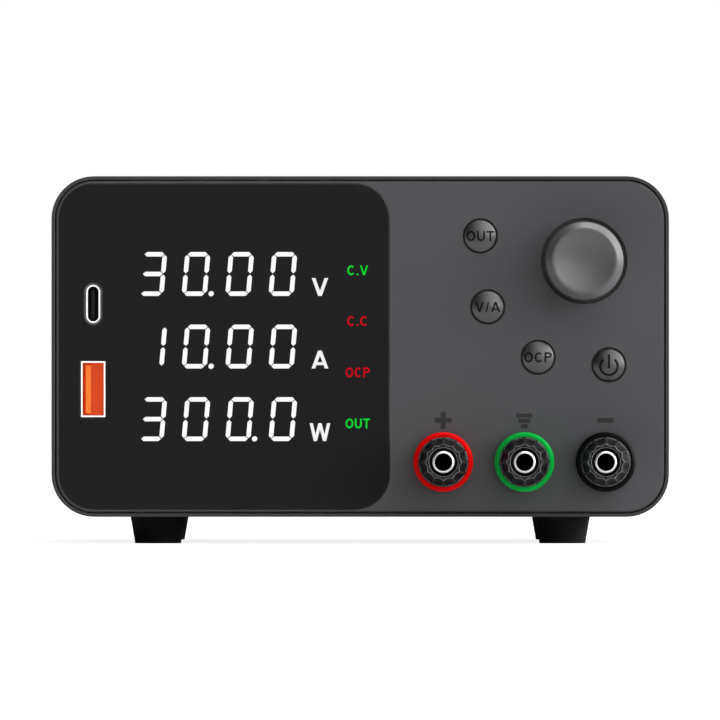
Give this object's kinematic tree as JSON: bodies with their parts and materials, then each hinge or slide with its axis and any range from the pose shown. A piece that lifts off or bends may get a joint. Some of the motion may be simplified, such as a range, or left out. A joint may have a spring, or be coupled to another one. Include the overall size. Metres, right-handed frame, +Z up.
{
  "type": "bench power supply",
  "caption": "Adjustable bench power supply in a painted steel case, with numeric displays, a control knob, push buttons, charging ports, binding posts and a cooling fan.",
  "frame": {"origin": "middle of the whole unit's footprint, on the surface it stands on", "axes": "+Z up, the front panel faces -Y, +X to the right as seen from the front"},
  "size_m": [0.145, 0.23, 0.0863],
  "materials": {
    "black_steel": "fine texture powder coat",
    "grey_abs": "satin spark-eroded ABS",
    "knob_abs": "satin",
    "dark_abs": "satin",
    "window_acrylic": "polished smoked acrylic",
    "black_screws": "black oxide",
    "nickel_screws": "nickel plated",
    "foot_rubber": "matt",
    "display_epoxy": "potted",
    "light_resin": "frosted",
    "board_laminate": "solder mask",
    "switch_plastic": "moulded",
    "zinc_die_cast": "die cast",
    "rotor_brass": "stamped",
    "nickel_plate": "bright nickel",
    "port_steel": "rolled, nickel plated",
    "orange_nylon": "moulded",
    "black_nylon": "moulded",
    "red_nylon": "moulded",
    "green_nylon": "moulded",
    "black_post_nylon": "moulded",
    "slider_nylon": "moulded",
    "fuse_glass": "clear with nickel caps",
    "core_ferrite": "sintered",
    "winding_tape": "taped",
    "sink_aluminium": "extruded",
    "can_sleeve": "sleeved",
    "cable_vinyl": "extruded"
  },
  "bodies": {
    "chassis": {"top_cover": "black_steel", "bottom_tray": "black_steel", "rear_panel": "black_steel", "front_panel": "grey_abs", "display_window": "window_acrylic", "case_screws": "black_screws", "panel_screws": "nickel_screws", "foot_screws": "nickel_screws", "foot_front_left": "foot_rubber", "foot_front_right": "foot_rubber", "foot_rear_left": "foot_rubber", "foot_rear_right": "foot_rubber", "voltage_display": "display_epoxy", "current_display": "display_epoxy", "power_display": "display_epoxy", "indicator_lights": "light_resin", "control_board": "board_laminate", "usb_board": "board_laminate", "main_board": "board_laminate", "tact_switches": "switch_plastic", "power_switch": "switch_plastic", "encoder_body": "zinc_die_cast", "red_post_shaft": "nickel_plate", "green_post_shaft": "nickel_plate", "black_post_shaft": "nickel_plate", "post_nuts": "nickel_plate", "inlet_pins": "nickel_plate", "usb_a_shell": "port_steel", "usb_c_shell": "port_steel", "usb_a_tongue": "orange_nylon", "usb_c_tongue": "black_nylon", "mains_inlet": "black_nylon", "selector_body": "black_nylon", "fan_frame": "black_nylon", "red_post_base": "red_nylon", "green_post_base": "green_nylon", "black_post_base": "black_post_nylon", "transformer_core": "core_ferrite", "transformer_winding": "winding_tape", "heatsinks": "sink_aluminium", "capacitors": "can_sleeve", "ribbon_cable": "cable_vinyl", "output_leads": "cable_vinyl"},
    "out_button": {"out_button": "grey_abs"},
    "select_button": {"select_button": "grey_abs"},
    "limit_button": {"limit_button": "grey_abs"},
    "power_button": {"power_button": "dark_abs"},
    "encoder_rotor": {"encoder_rotor": "rotor_brass"},
    "knob": {"encoder_shaft": "nickel_plate", "knob": "knob_abs"},
    "fan_rotor": {"fan_rotor": "black_nylon"},
    "selector_slider": {"selector_slider": "slider_nylon"},
    "fuse_drawer": {"fuse_drawer": "black_nylon", "fuse": "fuse_glass"},
    "black_washer": {"black_clamp_washer": "nickel_plate"},
    "black_cap": {"black_post_cap": "black_post_nylon"},
    "green_washer": {"green_clamp_washer": "nickel_plate"},
    "green_cap": {"green_post_cap": "black_post_nylon"},
    "red_washer": {"red_clamp_washer": "nickel_plate"},
    "red_cap": {"red_post_cap": "black_post_nylon"}
  },
  "joints": [
    {"name": "out_press", "type": "slide", "parent": "chassis", "child": "out_button", "axis": [0, 1, 0], "range_m": [0, 0.0006], "stiffness_N_per_m": 1500},
    {"name": "select_press", "type": "slide", "parent": "chassis", "child": "select_button", "axis": [0, 1, 0], "range_m": [0, 0.0006], "stiffness_N_per_m": 1500},
    {"name": "limit_press", "type": "slide", "parent": "chassis", "child": "limit_button", "axis": [0, 1, 0], "range_m": [0, 0.0006], "stiffness_N_per_m": 1500},
    {"name": "power_press", "type": "slide", "parent": "chassis", "child": "power_button", "axis": [0, 1, 0], "range_m": [0, 0.002], "stiffness_N_per_m": 700},
    {"name": "encoder_turn", "type": "hinge", "parent": "chassis", "child": "encoder_rotor", "pos_m": [0.0526, -0.0992, 0.0664], "axis": [0, 1, 0], "continuous": true},
    {"name": "knob_press", "type": "slide", "parent": "encoder_rotor", "child": "knob", "axis": [0, 1, 0], "range_m": [0, 0.0005], "stiffness_N_per_m": 2500},
    {"name": "black_washer_slide", "type": "slide", "parent": "chassis", "child": "black_washer", "axis": [0, -1, 0], "range_m": [0, 0.004]},
    {"name": "black_cap_turn", "type": "hinge", "parent": "black_washer", "child": "black_cap", "pos_m": [0.0576, -0.0992, 0.0192], "axis": [0, -1, 0], "range_deg": [0, 1440]},
    {"name": "green_washer_slide", "type": "slide", "parent": "chassis", "child": "green_washer", "axis": [0, -1, 0], "range_m": [0, 0.004]},
    {"name": "green_cap_turn", "type": "hinge", "parent": "green_washer", "child": "green_cap", "pos_m": [0.03855, -0.0992, 0.0192], "axis": [0, -1, 0], "range_deg": [0, 1440]},
    {"name": "red_washer_slide", "type": "slide", "parent": "chassis", "child": "red_washer", "axis": [0, -1, 0], "range_m": [0, 0.004]},
    {"name": "red_cap_turn", "type": "hinge", "parent": "red_washer", "child": "red_cap", "pos_m": [0.0195, -0.0992, 0.0192], "axis": [0, -1, 0], "range_deg": [0, 1440]},
    {"name": "fan_spin", "type": "hinge", "parent": "chassis", "child": "fan_rotor", "pos_m": [-0.029, 0.1108, 0.0463], "axis": [0, 1, 0], "continuous": true},
    {"name": "voltage_select", "type": "slide", "parent": "chassis", "child": "selector_slider", "axis": [1, 0, 0], "range_m": [0, 0.004]},
    {"name": "drawer_pull", "type": "slide", "parent": "chassis", "child": "fuse_drawer", "axis": [0, 1, 0], "range_m": [0, 0.015]}
  ],
  "couplings": [
    {"joint": "black_cap_turn", "follows": "black_washer_slide", "rad_per_m": 6280},
    {"joint": "green_cap_turn", "follows": "green_washer_slide", "rad_per_m": 6280},
    {"joint": "red_cap_turn", "follows": "red_washer_slide", "rad_per_m": 6280}
  ]
}
